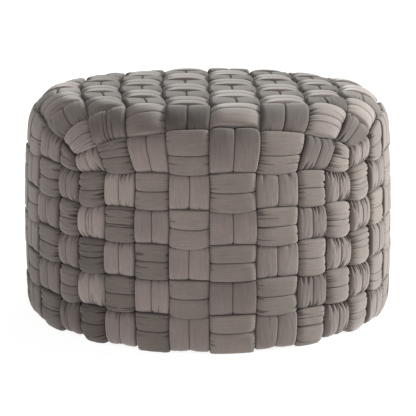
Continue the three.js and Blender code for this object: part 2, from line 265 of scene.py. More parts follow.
# The padded tubes that are inflated as cloth, to find how the velvet gathers at a crossing.
TUBE_LENGTH = 0.080
TUBE_WIDTH = 0.034
TUBE_HEIGHT = 0.010
TUBE_FLATNESS = {"across": 2.6, "along": 3.2}
TUBE_WAVE = {"height": 0.0003, "across": 3.3, "along": 0.4}
TUBE_SLACK = 1.02
TUBE_ROWS = 41
TUBE_COLUMNS = 21
TUBE_COUNT = 15
TUBES_IN_LINE = 6
TUBE_SPACING = {"across": 1.6, "along": 1.4}
TUBE_SCALE = 10
TUBE_FRAMES = 30
FIRST_TUBE_SEED = 100

# How the pleats of a gathered end differ, as the least and the most of each measure.
PLEAT_PLACES = (0.25, 0.75)
PLEAT_DRIFTS = (-0.10, 0.10)
PLEAT_WIDTHS = (0.7, 1.3)
PLEAT_LENGTHS = (0.6, 1.1)
PLEAT_DEPTHS = (0.6, 1.1)
PLEAT_INNER_WIDTH = 0.35

# The ways in which an end is gathered, from weak to strong.
GATHERS = (
    {"pleats": 1, "width": 0.045, "depth": 0.0008, "length": 0.35, "slack": 1.02},
    {"pleats": 2, "width": 0.050, "depth": 0.0016, "length": 0.45, "slack": 1.03},
    {"pleats": 1, "width": 0.070, "depth": 0.0026, "length": 0.80, "slack": 1.06},
    {"pleats": 2, "width": 0.065, "depth": 0.0034, "length": 0.90, "slack": 1.10},
    {"pleats": 3, "width": 0.060, "depth": 0.0042, "length": 1.10, "slack": 1.14},
)


def make_profile(radius, height, rim_radius, foot_radius):
    """The arcs of the half section, from the crown outwards and down to the floor.

    The bends of the dome and the side depend on each other, so they are settled in rounds.
    """
    dome, side_start, side_end, flat = (
        math.radians(a) for a in (DOME_EDGE_DEG, SIDE_START_DEG, SIDE_END_DEG, FLAT_DEG)
    )
    rim_drop = rim_radius * (math.cos(dome) - math.cos(side_start))
    foot_drop = foot_radius * (math.cos(side_end) - math.cos(flat))
    dome_radius = radius / math.sin(dome)
    side_radius = 1.0
    for _ in range(PROFILE_ROUNDS):
        dome_drop = dome_radius * (1 - math.cos(dome))
        side_drop = height - dome_drop - rim_drop - foot_drop
        side_radius = side_drop / (math.cos(side_start) - math.cos(side_end))
        rim_reach = rim_radius * (math.sin(side_start) - math.sin(dome))
        side_reach = side_radius * (1 - math.sin(side_start))
        dome_radius = (radius - rim_reach - side_reach) / math.sin(dome)
    turns = (
        (dome_radius, 0.0, dome),
        (rim_radius, dome, side_start),
        (side_radius, side_start, side_end),
        (foot_radius, side_end, flat),
    )
    arcs = []
    r, z, start = 0.0, height, 0.0
    for bend, begin, end in turns:
        arcs.append({"bend": bend, "from": begin, "r": r, "z": z, "start": start})
        r += bend * (math.sin(end) - math.sin(begin))
        z -= bend * (math.cos(begin) - math.cos(end))
        start += bend * (end - begin)
    return arcs


PROFILE = make_profile(
    OUTER_RADIUS - CREST_HEIGHT, OUTER_HEIGHT - CREST_HEIGHT, RIM_RADIUS, FOOT_RADIUS
)
RIM, SIDE, FOOT = PROFILE[1], PROFILE[2], PROFILE[3]


def profile_points(distance):
    """Radius, height and heading of the section at distances from the crown."""
    starts = np.array([arc["start"] for arc in PROFILE])
    index = np.clip(np.searchsorted(starts, distance, side="right") - 1, 0, len(PROFILE) - 1)
    pick = {k: np.array([arc[k] for arc in PROFILE])[index] for k in PROFILE[0]}
    heading = pick["from"] + (distance - pick["start"]) / pick["bend"]
    r = pick["r"] + pick["bend"] * (np.sin(heading) - np.sin(pick["from"]))
    z = pick["z"] - pick["bend"] * (np.cos(pick["from"]) - np.cos(heading))
    return r, z, heading


def distance_at_heading(arc, degrees):
    return arc["start"] + arc["bend"] * (math.radians(degrees) - arc["from"])


def distance_at_height(arc, height):
    heading = math.acos(math.cos(arc["from"]) - (arc["z"] - height) / arc["bend"])
    return arc["start"] + arc["bend"] * (heading - arc["from"])


LINE_DISTANCES = np.array(
    [distance_at_heading(RIM, RIM_LINE_DEG)]
    + [distance_at_height(SIDE, line["height"]) for line in HOOP_LINES]
    + [distance_at_heading(FOOT, LOWEST_LINE_DEG)]
)
LINE_DROPS = np.array(
    [RIM_CORNER_DROPS] + [[line["corner_drop"]] * 4 for line in HOOP_LINES] + [[0.0] * 4]
)


def make_column_lines():
    """The azimuth of each line between two upright bands, face by face."""
    total = sum(sum(widths) for widths in COLUMN_WIDTHS_DEG.values())
    lines = []
    angle = FIRST_CORNER_DEG
    for widths in COLUMN_WIDTHS_DEG.values():
        face = [angle]
        for width in widths:
            angle += width * 360 / total
            face.append(angle)
        lines.append(np.radians(face))
    return lines


COLUMN_LINES = make_column_lines()
RIM_LEANS = [np.radians(leans) for leans in RIM_LEAN_DEG.values()]


def value_at(line, a):
    """The value at place a, from 0 to 8, of a list with one value for each line."""
    index = np.clip(np.floor(a).astype(int), 0, BANDS_PER_SIDE - 1)
    return line[index] + (line[index + 1] - line[index]) * (a - index)


def azimuth_at(face, a, lean_share):
    return value_at(COLUMN_LINES[face], a) + lean_share * value_at(RIM_LEANS[face], a)


def line_distance(face, index, a):
    """The distance of a line from the crown, which grows to both corners of the face."""
    from_middle = a / (BANDS_PER_SIDE / 2) - 1
    corner = np.where(from_middle < 0, face, (face + 1) % 4)
    power = np.where(index == 0, RIM_CORNER_POWER, HOOP_CORNER_POWER)
    return LINE_DISTANCES[index] + LINE_DROPS[index, corner] * np.abs(from_middle) ** power


def side_distance(face, a, b):
    """Distance from the crown at row place b, going on past the lowest line below 6."""
    index = np.clip(np.floor(b).astype(int), 0, HOOPS - 1)
    upper = line_distance(face, index, a)
    lower = line_distance(face, index + 1, a)
    past = np.maximum(b - HOOPS, 0) * ROW_PITCH
    return upper + (lower - upper) * (np.minimum(b, HOOPS) - index) + past


def rim_point(face, a, lean_share):
    azimuth = azimuth_at(face, a, lean_share)
    distance = line_distance(face, np.zeros(a.shape, dtype=int), a)
    return np.stack([distance * np.sin(azimuth), -distance * np.cos(azimuth)], axis=-1)


def upright_edge(face, a):
    return rim_point(face, a, 0)


def lean_edge(face, a):
    return rim_point(face, a, 1) - rim_point(face, a, 0)


def patch_point(edge, a, b, front, back, left, right):
    """A patch between four edges, where the last four values tell how much each one counts."""
    last = np.full(a.shape, float(BANDS_PER_SIDE))
    none = np.zeros(a.shape)
    front, back, left, right = (share[..., None] for share in (front, back, left, right))
    return (
        edge(FRONT, a) * front
        + edge(BACK, last - a) * back
        + edge(LEFT, last - b) * left
        + edge(RIGHT, b) * right
        - edge(FRONT, none) * left * front
        - edge(FRONT, last) * right * front
        - edge(BACK, last) * left * back
        - edge(BACK, none) * right * back
    )


def fade(rows):
    """How much of the lean is left, so many rows in from the rim."""
    return np.maximum(0, 1 - rows / LEAN_ROWS)


def top_point(a, b):
    """The flat layout of the top: a patch between its rim lines, and the lean near them."""
    s = a / BANDS_PER_SIDE
    t = b / BANDS_PER_SIDE
    flat = patch_point(upright_edge, a, b, 1 - t, t, 1 - s, s)
    far_a = BANDS_PER_SIDE - a
    far_b = BANDS_PER_SIDE - b
    return flat + patch_point(lean_edge, a, b, fade(b), fade(far_b), fade(a), fade(far_a))


def raised_rows(face, a, b):
    """Row places after the one crossing of the front rim is drawn up."""
    off_middle = 2 * (a - RAISED_COLUMN) - 1
    raised = np.maximum(0, 1 - off_middle**RAISED_SQUARENESS)
    bump = raised * np.clip(1 - b, 0, 1) ** 2
    if face == TOP:
        return b + RAISED_BY / TOP_PITCH * bump
    return b - RAISED_BY / ROW_PITCH * bump


def surface_points(face, a, b, height):
    """Points in space at places (a, b) of a face, raised off the bearing surface."""
    if face in (TOP, FRONT):
        b = raised_rows(face, a, b)
    if face == TOP:
        flat = top_point(a, b)
        azimuth = np.arctan2(flat[..., 0], -flat[..., 1])
        distance = np.hypot(flat[..., 0], flat[..., 1])
    else:
        azimuth = azimuth_at(face, a, np.maximum(0, 1 - b))
        distance = side_distance(face, a, b)
    r, z, heading = profile_points(distance)
    reach = r + height * np.sin(heading)
    return np.stack(
        [reach * np.sin(azimuth), -reach * np.cos(azimuth), z + height * np.cos(heading)],
        axis=-1,
    )


def gather_kind(index, end):
    """Which gather one end of a tube has. They take turns, as the tubes are numbered."""
    return (index * 2 + end) % len(GATHERS)


def end_pleats(rng, u, x, gather):
    """The valleys that fan out from one end of a tube, as a height for each point."""
    depth = np.zeros(np.broadcast_shapes(u.shape, x.shape))
    count = gather["pleats"]
    for place in range(count):
        centre = (place + rng.uniform(*PLEAT_PLACES)) / count
        drift = rng.uniform(*PLEAT_DRIFTS)
        width = gather["width"] * rng.uniform(*PLEAT_WIDTHS)
        length = gather["length"] * rng.uniform(*PLEAT_LENGTHS)
        near_end = np.clip(1 - (1 - np.abs(u)) / length, 0, 1) ** 0.8
        spread = width * (PLEAT_INNER_WIDTH + (1 - PLEAT_INNER_WIDTH) * near_end)
        middle = centre + drift * (1 - np.abs(u))
        valley = np.exp(-np.abs((x - middle) / spread) ** 1.5)
        depth -= gather["depth"] * rng.uniform(*PLEAT_DEPTHS) * near_end * valley
    return depth


def tube_layout(index):
    """Start and slack shape of one tube: its velvet is gathered at both of its ends."""
    rng = np.random.default_rng(FIRST_TUBE_SEED + index)
    u = np.linspace(-1, 1, TUBE_ROWS)[:, None]
    x = np.linspace(0, 1, TUBE_COLUMNS)[None, :]
    near, far = (GATHERS[gather_kind(index, end)] for end in (0, 1))
    slackness = np.where(u < 0, near["slack"], far["slack"])
    shape = np.sqrt(1 - np.abs(2 * x - 1) ** TUBE_FLATNESS["across"])
    plump = shape * np.sqrt(1 - np.abs(u) ** TUBE_FLATNESS["along"])
    valleys = np.where(u < 0, end_pleats(rng, u, x, near), end_pleats(rng, u, x, far))
    phase = TUBE_WAVE["across"] * x + TUBE_WAVE["along"] * u + rng.uniform()
    wave = TUBE_WAVE["height"] * np.sin(math.tau * phase)
    smooth = TUBE_HEIGHT * plump
    z = smooth + valleys * shape + wave * plump
    start = np.stack([x * TUBE_WIDTH + 0 * u, u * TUBE_LENGTH / 2 + 0 * x, z], axis=-1)
    slack_width = TUBE_SLACK + (slackness - TUBE_SLACK) * u**2
    slack = np.stack(
        [(x - 0.5) * TUBE_WIDTH * slack_width, TUBE_SLACK * start[..., 1], 0 * z], axis=-1
    )
    line, place = divmod(index, TUBES_IN_LINE)
    sideways = place * TUBE_WIDTH * TUBE_SPACING["across"]
    onwards = line * TUBE_LENGTH * TUBE_SPACING["along"]
    offset = np.array([sideways, onwards, 0])
    held = (np.abs(u) == 1) | (x == 0) | (x == 1)
    return start + offset, slack + offset, held, smooth


def inflate_tubes():
    """Inflate all the tubes at once as cloth, and return how far each stands off smooth."""
    layouts = [tube_layout(index) for index in range(TUBE_COUNT)]
    start = np.array([layout[0] for layout in layouts]) * TUBE_SCALE
    slack = np.array([layout[1] for layout in layouts]) * TUBE_SCALE
    held = np.array([layout[2] for layout in layouts])
    smooth = np.array([layout[3] for layout in layouts])
    index = np.arange(held.size).reshape(held.shape)
    quads = np.stack(
        [index[:, :-1, :-1], index[:, :-1, 1:], index[:, 1:, 1:], index[:, 1:, :-1]], axis=-1
    )
    mesh = bpy.data.meshes.new("inflated_tubes")
    mesh.from_pydata(start.reshape(-1, 3).tolist(), [], quads.reshape(-1, 4).tolist())
    tubes = bpy.data.objects.new("inflated_tubes", mesh)
    bpy.context.scene.collection.objects.link(tubes)
    tubes.shape_key_add(name="start")
    slack_key = tubes.shape_key_add(name="slack")
    slack_key.data.foreach_set("co", slack.astype(np.float32).ravel())
    slack_key.value = 0
    group = tubes.vertex_groups.new(name="held")
    group.add(np.flatnonzero(held).tolist(), 1.0, "REPLACE")
    cloth = tubes.modifiers.new("cloth", "CLOTH")
    settings = cloth.settings
    settings.quality = 6
    settings.mass = 0.3
    settings.tension_stiffness = 30
    settings.compression_stiffness = 30
    settings.shear_stiffness = 10
    settings.bending_stiffness = 10
    settings.tension_damping = 2
    settings.compression_damping = 2
    settings.shear_damping = 2
    settings.bending_damping = 0.3
    settings.air_damping = 2
    settings.use_pressure = True
    settings.uniform_pressure_force = 3
    settings.vertex_group_mass = group.name
    settings.rest_shape_key = slack_key
    settings.effector_weights.gravity = 0
    cloth.collision_settings.use_collision = False
    cloth.point_cache.frame_end = TUBE_FRAMES
    scene = bpy.context.scene
    for frame_number in range(1, TUBE_FRAMES + 1):
        scene.frame_set(frame_number)
    result = tubes.evaluated_get(bpy.context.evaluated_depsgraph_get()).to_mesh()
    points = np.empty(held.size * 3, dtype=np.float32)
    result.vertices.foreach_get("co", points)
    heights = points.reshape(*held.shape, 3)[..., 2] / TUBE_SCALE
    bpy.data.objects.remove(tubes)
    bpy.data.meshes.remove(mesh)
    scene.frame_set(1)
    return heights - smooth


def half_tube_folds():
    """The folds of each half tube, from its end to its middle, grouped by how it is gathered."""
    folds = [[] for _ in GATHERS]
    half = TUBE_ROWS // 2
    for index, relief in enumerate(inflate_tubes()):
        folds[gather_kind(index, 0)].append(relief[: half + 1])
        folds[gather_kind(index, 1)].append(relief[::-1][: half + 1])
    return [np.array(group) for group in folds]


FOLDS = half_tube_folds()


def fold_height(relief, from_end, across):
    """Relief of one half tube, at parts of its length from its end and of its width."""
    row = np.clip(from_end, 0, 1) * (relief.shape[0] - 1)
    column = np.clip(across, 0, 1) * (relief.shape[1] - 1)
    i = np.minimum(row.astype(int), relief.shape[0] - 2)
    j = np.minimum(column.astype(int), relief.shape[1] - 2)
    v, u = row - i, column - j
    return (
        relief[i, j] * (1 - v) * (1 - u)
        + relief[i, j + 1] * (1 - v) * u
        + relief[i + 1, j] * v * (1 - u)
        + relief[i + 1, j + 1] * v * u
    )


class Cell:
    """One crossing as one of its two bands sees it.

    Its seed is its own whole number, so that no two crossings vary alike.
    """

    def __init__(self, face, column, row, along_axis, along_sign, across_sign, over):
        self.face = face
        self.column = column
        self.row = row
        self.along_axis = along_axis
        self.along_sign = along_sign
        self.across_sign = across_sign
        self.over = over
        self.seed = (face + 1) * 1009 + column * 101 + row * 11 + (5 if along_axis == "a" else 0)
        if face == TOP:
            self.shape = LEFT_RIGHT_SHAPE if along_axis == "a" else FRONT_BACK_SHAPE
        else:
            self.shape = HOOP_SHAPE if along_axis == "a" else UPRIGHT_SHAPE
        self.reach = self.shape["reach"] if over else 2 - self.shape["reach"]

    def corner_share(self):
        """0 over the middle of a face and 1 at the corners of the weave."""
        middle = (BANDS_PER_SIDE - 1) / 2
        far = abs(self.column - middle) / middle
        if self.face == TOP:
            far = min(far, abs(self.row - middle) / middle)
        return max(0.0, far - CORNERS_FROM) / (1 - CORNERS_FROM)

    def face_place(self, along, across):
        """The same place counted along the columns and rows of the face, from -1 to 1."""
        u = along * self.along_sign
        v = across * self.across_sign
        return (u, v) if self.along_axis == "a" else (v, u)

    def points(self, along, across, height):
        sideways, up_down = self.face_place(along * self.reach, across)
        a = self.column + (1 + sideways) / 2
        b = self.row + (1 + up_down) / 2
        return surface_points(self.face, a, b, height)


def half_width(cell, along):
    """Half the width of the band, as a part of half its cell."""
    end_width = cell.shape["end_width"]
    corner = cell.corner_share()
    if cell.face != TOP:
        end_width -= CORNER_PINCH * corner * (HOOP_PINCH_SHARE if cell.along_axis == "a" else 1)
    if cell.over:
        squareness = PLAN_SQUARENESS["middle"] - PLAN_SQUARENESS["corner_loss"] * corner
        return end_width + (cell.shape["width"] - end_width) * (1 - np.abs(along) ** squareness)
    return end_width - UNDER_PINCH * (1 - along**2)


def across_places():
    """Places across the upper side of a band, closer together at its edges and its seam."""
    half = (TOP_POINTS - 1) // 2
    t = np.linspace(0, 1, half + 1)
    right = 0.5 * (1 - np.cos(math.pi * t))
    right = POINT_CROWDING * right + (1 - POINT_CROWDING) * t
    return np.concatenate([-right[:0:-1], right])


ACROSS = across_places()
LOW_ACROSS = np.linspace(1, -1, BOTTOM_POINTS + 2)[1:-1]
ROUND_ACROSS = np.concatenate([ACROSS, LOW_ACROSS])


def lens(x):
    """1 in the middle and 0 at both ends."""
    return 1 - x**2


def bell(x):
    """1 at 0, and falling off evenly to both sides."""
    return np.exp(-(x**2))


def grown(pair, share):
    """The first value of a pair, grown by the second one where the share is 1."""
    start, growth = pair
    return start + growth * share


def end_height(cell, along):
    """How high the upper side of a band is where it turns under, more over the top."""
    if cell.face != TOP:
        return np.full(along.shape, END_HEIGHT)
    first = cell.row if cell.along_axis == "b" else cell.column
    place = first + (1 + along * cell.along_sign) / 2
    inward = np.minimum(place, BANDS_PER_SIDE - place)
    return END_HEIGHT + TOP_LIFT * np.clip(inward, 0, 1)


def end_pull(cell, end):
    """How strongly one end of a crossing is gathered, before it varies."""
    corner = cell.corner_share()
    if cell.face == TOP:
        return grown(TOP_PULL, corner)
    if cell.along_axis == "a":
        return grown(HOOP_PULL, corner)
    at_foot = end * cell.along_sign > 0
    return grown(UPRIGHT_FOOT_PULL if at_foot else UPRIGHT_HEAD_PULL, corner)


def gathered_folds(cell, rng, along, across):
    """The folds of the four half tubes of one crossing, from the inflated ones."""
    variation = grown(PULL_VARIATION, cell.corner_share())
    relief = np.zeros(np.broadcast_shapes(along.shape, across.shape))
    for end in (-1, 1):
        for side in (-1, 1):
            pull = end_pull(cell, end) + variation * rng.uniform(-1, 1)
            pull = np.clip(pull, 0, STRONGEST_PULL)
            group = FOLDS[int(pull * len(FOLDS))]
            fold = group[rng.integers(len(group))]
            width = np.abs(across)
            if rng.uniform() < 0.5:
                width = 1 - width
            here = (np.sign(along) == end) & (np.sign(across) == side)
            relief += np.where(here, fold_height(fold, 1 - np.abs(along), width), 0)
    return relief * np.minimum(CLEAREST_FOLD, np.abs(relief) / FOLD_DEPTH) ** FOLD_CLARITY


def seam_groove(cell, s, x):
    """The depth of the sewn seam, deeper at the ends, where it is notched on the top."""
    near_end = np.abs(s) ** NEAR_END_POWER
    groove = grown(SEAM_DEPTHS, near_end) * bell(x / SEAM_WIDTH)
    if cell.face == TOP and cell.along_axis == "b":
        notch = np.abs(s) ** NOTCH_POWER
        groove = groove + NOTCH_DEPTH * notch * bell(x / grown(NOTCH_WIDTHS, notch))
    return groove


def over_rows(cell):
    """Places along a crossing, heights of its two sides, and places across the lower side."""
    rng = np.random.default_rng(cell.seed)
    even = np.linspace(-1, 1, ROWS_OVER)
    crowded = np.sin(even * math.pi / 2)
    along = ROW_CROWDING * crowded + (1 - ROW_CROWDING) * even
    s = along[:, None]
    x = ACROSS[None, :]
    edge = MIDDLE_HEIGHT + TURN_THICKNESS / 2 * lens(s) - EDGE_GAP
    puff = cell.shape["crest"] + PUFF_VARIATION * rng.uniform(-1, 1)
    corner = cell.corner_share()
    arch = cell.shape["arch"]
    arch += (min(arch, CORNER_ARCH) - arch) * corner
    low_end = end_height(cell, s)
    crest = low_end + (puff - low_end) * (1 - np.abs(s) ** arch) ** cell.shape["fall"]
    flatness = FLATNESS["middle"] - FLATNESS["corner_loss"] * corner
    if cell.face == TOP and cell.along_axis == "b":
        flatness = FLATNESS["front_back"]
    round_over = (1 - np.abs(x) ** flatness) ** (1 / 2)
    near_end = np.abs(s) ** NEAR_END_POWER
    hollow = grown(HOLLOW_DEPTHS, near_end) * bell(x / grown(HOLLOW_WIDTHS, near_end))
    strength = FOLD_STRENGTH["middle"]
    strength += (FOLD_STRENGTH["corner"] - strength) * corner
    end_fade = np.minimum(1, FOLD_END_FADE * (1 - np.abs(s)))
    folds = gathered_folds(cell, rng, s, x) * strength * end_fade
    top = edge + (crest - edge) * round_over * (1 - hollow) - seam_groove(cell, s, x) + folds
    seat = UNDER_TOP + (MIDDLE_HEIGHT - TURN_THICKNESS / 2 - UNDER_TOP) * s**2
    low = LOW_ACROSS[None, :]
    bottom = edge + (seat - edge) * lens(low) + SEAT_GAP
    return along, top, bottom, low


def under_rows(cell):
    """The same as over_rows, for a band that passes below the other one."""
    along = np.linspace(-1, 1, ROWS_UNDER)
    s = along[:, None]
    x = ACROSS[None, :]
    edge = MIDDLE_HEIGHT - TURN_THICKNESS / 2 * lens(s)
    crest = UNDER_TOP + (end_height(cell, s) - UNDER_TOP) * s**2
    top = edge + (crest - edge) * (1 - np.abs(x) ** FLATNESS["under"]) ** (1 / 2)
    rest = UNDER_BOTTOM + (MIDDLE_HEIGHT - TURN_THICKNESS / 2 - UNDER_BOTTOM) * s**2
    low = LOW_ACROSS[None, :]
    bottom = edge + (rest - edge) * lens(low)
    return along, top, bottom, low


def cell_rings(cell):
    """The rings of points round the band through one cell, one ring for each row."""
    along, top, bottom, low = over_rows(cell) if cell.over else under_rows(cell)
    s = along[:, None]
    width = half_width(cell, s)
    shift = np.zeros_like(s)
    wander = np.zeros_like(s)
    if cell.over:
        rng = np.random.default_rng(cell.seed + 3)
        bow = rng.uniform(*HOOP_BOW) if cell.face != TOP and cell.along_axis == "a" else 0
        width = width + bow * lens(s)
        shift = (bow * cell.across_sign + rng.uniform(-SIDE_SHIFT, SIDE_SHIFT)) * lens(s)
        offset = rng.uniform(-SEAM_WANDER, SEAM_WANDER)
        wander = (offset + rng.uniform(-SEAM_SLANT, SEAM_SLANT) * s) * lens(s)
    x = ACROSS[None, :] + wander * lens(ACROSS[None, :])
    upper = cell.points(s + 0 * top, x * width + shift, top)
    lower = cell.points(s + 0 * bottom, low * width + shift, bottom)
    return np.concatenate([upper, lower], axis=1)


def tuck_rings(cell, along_end):
    """The turned-under end of an upright band, past the lowest line."""
    rings = []
    for length, thickness in TUCK_STEPS:
        width = half_width(cell, np.array(1.0))
        middle = UNDER_BOTTOM + thickness / 2
        heights = np.concatenate([
            middle + thickness / 2 * np.sqrt(lens(ACROSS)),
            middle - thickness / 2 * np.sqrt(lens(LOW_ACROSS)),
        ])
        across = ROUND_ACROSS * width * cell.across_sign
        a = cell.column + (1 + across) / 2
        b = np.full(a.shape, HOOPS + length / ROW_PITCH)
        rings.append(surface_points(cell.face, a, b, heights))
    if along_end < 0:
        rings.reverse()
    return np.array(rings)


def top_tone_and_painted_light(cell, level, sideways, depth):
    """Lightness with painted light and shade over the top, where depth goes from -1 at the front
    of a crossing to 1 at its back.
    """
    front = np.clip(0.5 - 0.5 * depth, 0, 1)
    # Painted light on the outer columns.
    outer = cell.column in (0, BANDS_PER_SIDE - 1)
    level = level + (TONE_AND_PAINTED_LIGHT["outer_column_painted_light"] if outer else 0)
    if cell.along_axis == "a":
        # Painted light that grows to the right and along the rim, and painted shade at the front
        # of each crossing.
        turn = TONE_AND_PAINTED_LIGHT["left_right_painted_light_turn"] * (cell.column / (BANDS_PER_SIDE - 1) * 2 - 1)
        front_painted_shade = TONE_AND_PAINTED_LIGHT["left_right_front_painted_shade"]
        if cell.row == 0:
            front_painted_shade = 0
            level = level + TONE_AND_PAINTED_LIGHT["left_right_rim_painted_light"]
        return (level * TONE_AND_PAINTED_LIGHT["left_right"] + turn) * (1 - front_painted_shade * front**1.5)
    # Painted shade at the sides of a front-back crossing and on a few listed ones; along the rim,
    # a painted dark dip between a painted lighter top and foot.
    tone_and_painted_light = level * TONE_AND_PAINTED_LIGHT["front_back"] * (1 - TONE_AND_PAINTED_LIGHT["front_back_side_painted_shade"] * np.abs(sideways) ** 3)
    tone_and_painted_light = tone_and_painted_light - RIM_CELL_PAINTED_SHADE.get((cell.column, cell.row), 0)
    if cell.row == 0:
        tone_and_painted_light = tone_and_painted_light + TONE_AND_PAINTED_LIGHT["front_back_rim_painted_light"]
        from_dip = np.clip(depth - TONE_AND_PAINTED_LIGHT["front_back_dip_place"], -1, 1)
        tone_and_painted_light = tone_and_painted_light + TONE_AND_PAINTED_LIGHT["front_back_rim_painted_dip"] * (0.5 - lens(from_dip))
        tone_and_painted_light = tone_and_painted_light + TONE_AND_PAINTED_LIGHT["front_back_rim_foot_painted_light"] * front**4
        tone_and_painted_light = tone_and_painted_light + TONE_AND_PAINTED_LIGHT["front_back_rim_top_painted_light"] * (1 - front) ** 4
    return tone_and_painted_light


def painted_light_at(azimuth, painted_glows):
    """How much lighter the bands are painted at this place round the side: painted light, or
    painted shade where it is below zero.
    """
    total = 0
    for painted_glow in painted_glows:
        off_centre = (math.degrees(azimuth) - painted_glow["azimuth"]) / painted_glow["spread"]
        total += painted_glow["strength"] * math.exp(-(off_centre**2))
    return total


def side_tone_and_painted_light(cell, level, sideways, down):
    """Lightness with painted light and shade on the side, where down goes from -1 at the top of a
    crossing to 1 at its foot.
    """
    azimuth = azimuth_at(cell.face, np.array(cell.column + 0.5), 0)
    # Painted shade towards the foot, deeper on the left.
    foot = TONE_AND_PAINTED_LIGHT["foot_painted_shade_turn"] * math.sin(azimuth) - TONE_AND_PAINTED_LIGHT["foot_painted_shade_depth"]
    level = level * (1 + foot * (cell.row / (HOOPS - 1)) ** 2)
    if cell.along_axis == "a":
        # Painted light that grows to the right, with painted light and shade round the side.
        turn = TONE_AND_PAINTED_LIGHT["hoop_painted_light_turn"] * math.sin(azimuth)
        tone_and_painted_light = level * (TONE_AND_PAINTED_LIGHT["hoop"] + painted_light_at(azimuth, HOOP_PAINTED_LIGHT) + turn)
        # Painted shade on the front hoops towards the left, and on a few listed crossings.
        if cell.face == FRONT:
            past = min(math.sin(azimuth) - TONE_AND_PAINTED_LIGHT["hoop_left_from"], 0)
            tone_and_painted_light += level * TONE_AND_PAINTED_LIGHT["hoop_left_painted_shade"] * past
            tone_and_painted_light -= HOOP_CELL_PAINTED_SHADE.get((cell.column, cell.row), 0)
        # Painted shade at both ends of a hoop crossing.
        return tone_and_painted_light * (1 - TONE_AND_PAINTED_LIGHT["hoop_end_painted_shade"] * sideways**4)
    # Painted light and shade round the side, and a painted shadow at the top of each upright
    # crossing under the band above it, deepest on the rim.
    painted_glow = painted_light_at(azimuth, UPRIGHT_PAINTED_LIGHT)
    top_painted_shadow = TONE_AND_PAINTED_LIGHT["rim_upright_top_painted_shadow"] if cell.row == 0 else TONE_AND_PAINTED_LIGHT["upright_top_painted_shadow"]
    top_painted_shadow *= math.cos(azimuth) ** 2
    upper = np.clip(0.5 - 0.5 * down, 0, 1)
    return level * (TONE_AND_PAINTED_LIGHT["upright"] + painted_glow) - top_painted_shadow * upper**1.5


def cell_tone_and_painted_light(cell):
    """How light each point of one crossing is painted: a random level, with painted light and
    shade.

    The sheen of the pile is painted along each band, so that the bands that cross are painted
    lighter and darker in turn.
    """
    rng = np.random.default_rng(cell.seed + 7)
    rows = ROWS_OVER if cell.over else ROWS_UNDER
    along = np.linspace(-1, 1, rows)[:, None]
    level = rng.uniform(*TONE_VARIATION)
    across = ROUND_ACROSS[None, :]
    sideways, up_down = np.broadcast_arrays(*cell.face_place(along, across))
    tone_on = top_tone_and_painted_light if cell.face == TOP else side_tone_and_painted_light
    slant = rng.uniform(-TONE_SLANT, TONE_SLANT)
    tone_and_painted_light = tone_on(cell, level, sideways, up_down) + slant * along
    # Painted shade along the edges of each crossing; on the top, painted light on the shaded front
    # edge instead.
    front_edge_painted_light = TONE_AND_PAINTED_LIGHT["top_front_painted_light"] if cell.face == TOP else -TONE_AND_PAINTED_LIGHT["edge_painted_shade"]
    for place, change in ((sideways, -TONE_AND_PAINTED_LIGHT["edge_painted_shade"]), (up_down, front_edge_painted_light)):
        at_edge = np.clip((np.abs(place) - PAINTED_EDGE_FROM) / (1 - PAINTED_EDGE_FROM), 0, 1)
        tone_and_painted_light = tone_and_painted_light * (1 + change * at_edge**2)
    return tone_and_painted_light


def cell_creases(cell):
    """For each point of a crossing: its place across, how far it is from its end, and a seed.

    The distance is counted in crease lengths, which differ from end to end.
    """
    rng = np.random.default_rng(cell.seed + 9)
    rows = ROWS_OVER if cell.over else ROWS_UNDER
    s = np.linspace(-1, 1, rows)
    shortest, longest = CREASE_LENGTHS
    more = CREASE_CORNER_LENGTH * cell.corner_share()
    first, last = rng.uniform(shortest, longest, 2) + more
    length = np.where(s < 0, first, last)
    if cell.face != TOP and cell.along_axis == "a":
        length = np.where(s < 0, length + HOOP_START_CREASE, length)
    from_end = (1 - np.abs(s)) / length
    creases = np.zeros((rows, len(ROUND_ACROSS), 3))
    creases[..., 0] = ROUND_ACROSS[None, :]
    creases[..., 1] = from_end[:, None]
    creases[..., 2] = rng.uniform(0, CREASE_SEEDS)
    return creases


def along_band(cells, values_of, closed):
    """The values of all cells of a band, the first and last repeated for its turned-under ends."""
    values = [values_of(cell) for cell in cells]
    if not closed:
        values.insert(0, np.repeat(values[0][:1], len(TUCK_STEPS), axis=0))
        values.append(np.repeat(values[-1][-1:], len(TUCK_STEPS), axis=0))
    return np.concatenate(values)


def band_points(cells, closed):
    """The points of a band, ring after ring, none of them below the floor."""
    rings = [cell_rings(cell) for cell in cells]
    if not closed:
        rings.insert(0, tuck_rings(cells[0], -1))
        rings.append(tuck_rings(cells[-1], 1))
    points = np.concatenate(rings)
    points[..., 2] = np.maximum(points[..., 2], 0)
    return points


def band_faces(ring_count, round_count, closed):
    """Quads between the rings, and a cap at each end of a band that isn't closed."""
    index = np.arange(ring_count * round_count).reshape(ring_count, round_count)
    near = index if closed else index[:-1]
    far = np.roll(index, -1, axis=0) if closed else index[1:]
    quads = np.stack([near, np.roll(near, -1, axis=1), np.roll(far, -1, axis=1), far], axis=-1)
    faces = quads.reshape(-1, 4).tolist()
    if not closed:
        faces.append(index[0][::-1].tolist())
        faces.append(index[-1].tolist())
    return faces


def places_on_band(points):
    """How far each point is along the band, and how far round it from the seam."""
    round_count = points.shape[1]
    steps = np.linalg.norm(np.diff(points, axis=0, append=points[:1]), axis=-1)
    along = np.concatenate([np.zeros((1, round_count)), np.cumsum(steps, axis=0)[:-1]])
    along = np.repeat(along.mean(axis=1, keepdims=True), round_count, axis=1)
    steps = np.linalg.norm(points - np.roll(points, 1, axis=1), axis=-1)
    steps[:, 0] = 0
    across = np.cumsum(steps, axis=1)
    seam = across[:, (TOP_POINTS - 1) // 2][:, None]
    return np.stack([along, across - seam], axis=-1)


